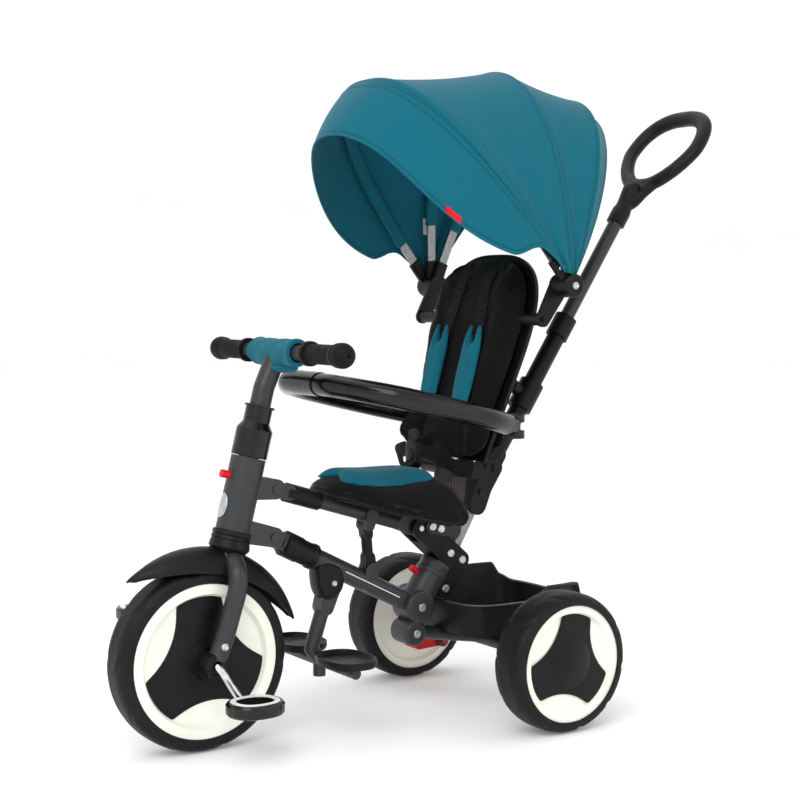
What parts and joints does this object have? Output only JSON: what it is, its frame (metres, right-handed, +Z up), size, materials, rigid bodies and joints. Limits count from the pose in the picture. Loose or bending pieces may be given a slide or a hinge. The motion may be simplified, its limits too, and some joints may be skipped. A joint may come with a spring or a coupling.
{
  "type": "children's tricycle",
  "caption": "Push tricycle for a small child: three foam wheels, pedals on the front one, cushioned seat with bumper ring, fabric canopy, footrest, rear basket and telescoping push pole.",
  "frame": {"origin": "on the floor, under the middle of the tricycle's bounding box", "axes": "-Y the way it drives, +X its left, +Z up"},
  "size_m": [0.462, 1.0158, 0.9448],
  "materials": {
    "black_gloss": "glossy black moulding",
    "black_matte": "matte black moulding",
    "grey_paint": "dark grey satin powder coat",
    "brown_steel": "brown-black painted steel plate",
    "zinc": "zinc plated steel",
    "ivory": "ivory moulding",
    "foam": "black foam rubber",
    "red": "red moulding",
    "inner_tube": "grey anodised tube",
    "black_cloth": "black woven polyester",
    "teal_cloth": "teal woven polyester",
    "bow_metal": "grey flat aluminium strip"
  },
  "bodies": {
    "frame": {"hub_sleeve": "grey_paint", "hub_bracket": "black_matte", "seat_plates": "brown_steel", "frame_bolts": "zinc", "basket": "black_matte", "seat_pan": "black_matte", "seat_cushion": "black_cloth", "buckle": "black_gloss", "pole_socket": "inner_tube", "pole_connector": "black_matte", "lower_boom": "grey_paint", "boom_fittings": "black_matte", "upper_boom": "grey_paint", "upper_sleeve": "black_matte", "strut": "black_matte", "head_tube": "grey_paint"},
    "rear_arm": {"rear_tubes": "grey_paint", "rear_axle": "zinc"},
    "rear_wheel_left": {"tyre_left": "foam", "rim_left": "ivory", "cover_left": "black_matte"},
    "rear_wheel_right": {"tyre_right": "foam", "rim_right": "ivory", "cover_right": "black_matte"},
    "brake": {"brake_lever": "red"},
    "hub_catch": {"hub_button": "red"},
    "footrest_arm": {"footrest": "grey_paint", "foot_plates": "black_matte"},
    "clutch": {"clutch_knob": "red"},
    "steering_unit": {"fork": "grey_paint", "fender": "black_matte", "handlebar": "grey_paint", "collar": "black_gloss", "grips": "black_matte", "bar_pad": "teal_cloth"},
    "front_wheel": {"tyre_front": "foam", "rim_front": "ivory", "cover_front": "black_matte"},
    "crankset": {"cranks": "zinc"},
    "pedal_unit_left": {"pedal_left": "black_matte"},
    "pedal_unit_right": {"pedal_right": "black_matte"},
    "backrest": {"backrest_shell": "black_matte", "recline_knobs": "black_matte", "backrest_pad": "black_cloth", "harness": "teal_cloth"},
    "ring_left": {"bumper_left": "black_gloss"},
    "ring_right": {"bumper_right": "black_gloss"},
    "ring_catch": {"bumper_button": "red"},
    "canopy_mount": {"canopy_arms": "black_matte"},
    "canopy_back": {"bow_rear": "bow_metal", "canopy_rear": "teal_cloth"},
    "canopy_mid": {"bow_middle": "bow_metal", "canopy_middle": "teal_cloth"},
    "canopy_fore": {"bow_front": "bow_metal", "canopy_front": "teal_cloth"},
    "pole_base": {"pole_lower": "black_matte", "pole_clamp": "black_matte"},
    "pole_catch": {"pole_button": "red"},
    "pole_top": {"pole_upper": "grey_paint", "handle": "black_gloss"}
  },
  "joints": [
    {"name": "rear_fold", "type": "hinge", "parent": "frame", "child": "rear_arm", "pos_m": [0, -0.041, 0.122], "axis": [-1, 0, 0], "range_deg": [0, 90]},
    {"name": "rear_wheel_left_spin", "type": "hinge", "parent": "rear_arm", "child": "rear_wheel_left", "pos_m": [0.197, 0.087, 0.1], "axis": [1, 0, 0], "continuous": true},
    {"name": "rear_wheel_right_spin", "type": "hinge", "parent": "rear_arm", "child": "rear_wheel_right", "pos_m": [-0.197, 0.087, 0.1], "axis": [1, 0, 0], "continuous": true},
    {"name": "brake_press", "type": "hinge", "parent": "rear_arm", "child": "brake", "pos_m": [-0.12, 0.091, 0.073], "axis": [1, 0, 0], "range_deg": [0, 14]},
    {"name": "hub_button_press", "type": "slide", "parent": "frame", "child": "hub_catch", "axis": [0, 0.8315, -0.5555], "range_m": [0, 0.003], "stiffness_N_per_m": 300},
    {"name": "footrest_fold", "type": "hinge", "parent": "frame", "child": "footrest_arm", "pos_m": [0, -0.179, 0.197], "axis": [1, 0, 0], "range_deg": [0, 40]},
    {"name": "clutch_slide", "type": "slide", "parent": "frame", "child": "clutch", "axis": [0, 0.9694, -0.2453], "range_m": [0, 0.0025]},
    {"name": "steering", "type": "hinge", "parent": "frame", "child": "steering_unit", "pos_m": [0, -0.3346, 0.275], "axis": [0, 0.2452, 0.9695], "range_deg": [-22, 22]},
    {"name": "front_wheel_spin", "type": "hinge", "parent": "steering_unit", "child": "front_wheel", "pos_m": [0, -0.383, 0.125], "axis": [1, 0, 0], "continuous": true},
    {"name": "crank_spin", "type": "hinge", "parent": "steering_unit", "child": "crankset", "pos_m": [0, -0.383, 0.125], "axis": [1, 0, 0], "continuous": true},
    {"name": "pedal_left_spin", "type": "hinge", "parent": "crankset", "child": "pedal_unit_left", "pos_m": [0.108, -0.35322, 0.0764], "axis": [1, 0, 0], "continuous": true},
    {"name": "pedal_right_spin", "type": "hinge", "parent": "crankset", "child": "pedal_unit_right", "pos_m": [-0.108, -0.41278, 0.1736], "axis": [1, 0, 0], "continuous": true},
    {"name": "backrest_recline", "type": "hinge", "parent": "frame", "child": "backrest", "pos_m": [0, 0.0344, 0.3617], "axis": [1, 0, 0], "range_deg": [0, 12]},
    {"name": "bumper_left_swing", "type": "hinge", "parent": "backrest", "child": "ring_left", "pos_m": [0.124, 0.057, 0.43], "axis": [0, 0, 1], "range_deg": [0, 60]},
    {"name": "bumper_right_swing", "type": "hinge", "parent": "backrest", "child": "ring_right", "pos_m": [-0.124, 0.057, 0.43], "axis": [0, 0, -1], "range_deg": [0, 60]},
    {"name": "bumper_button_press", "type": "slide", "parent": "ring_left", "child": "ring_catch", "axis": [0, 0, -1], "range_m": [0, 0.003], "stiffness_N_per_m": 200},
    {"name": "canopy_arm_tilt", "type": "hinge", "parent": "backrest", "child": "canopy_mount", "pos_m": [0, 0.085, 0.583], "axis": [1, 0, 0], "range_deg": [-6, 6]},
    {"name": "canopy_rear_swing", "type": "hinge", "parent": "canopy_mount", "child": "canopy_back", "pos_m": [0, 0.1146, 0.631], "axis": [1, 0, 0], "range_deg": [-8, 8]},
    {"name": "canopy_front_fold", "type": "hinge", "parent": "canopy_back", "child": "canopy_fore", "pos_m": [0, 0.1146, 0.631], "axis": [-1, 0, 0], "range_deg": [0, 50]},
    {"name": "canopy_middle_fold", "type": "hinge", "parent": "canopy_back", "child": "canopy_mid", "pos_m": [0, 0.1146, 0.631], "axis": [-1, 0, 0], "range_deg": [0, 20]},
    {"name": "pole_fold", "type": "hinge", "parent": "frame", "child": "pole_base", "pos_m": [0, 0.1035, 0.3576], "axis": [-1, 0, 0], "range_deg": [0, 55]},
    {"name": "pole_button_press", "type": "slide", "parent": "pole_base", "child": "pole_catch", "axis": [0, 0.8338, -0.552], "range_m": [0, 0.004], "stiffness_N_per_m": 300},
    {"name": "pole_slide", "type": "slide", "parent": "pole_base", "child": "pole_top", "axis": [0, -0.552, -0.8338], "range_m": [0, 0.1]}
  ],
  "couplings": [
    {"joint": "crank_spin", "follows": "front_wheel_spin", "ratio": 1},
    {"joint": "canopy_middle_fold", "follows": "canopy_front_fold", "ratio": 0.4}
  ]
}
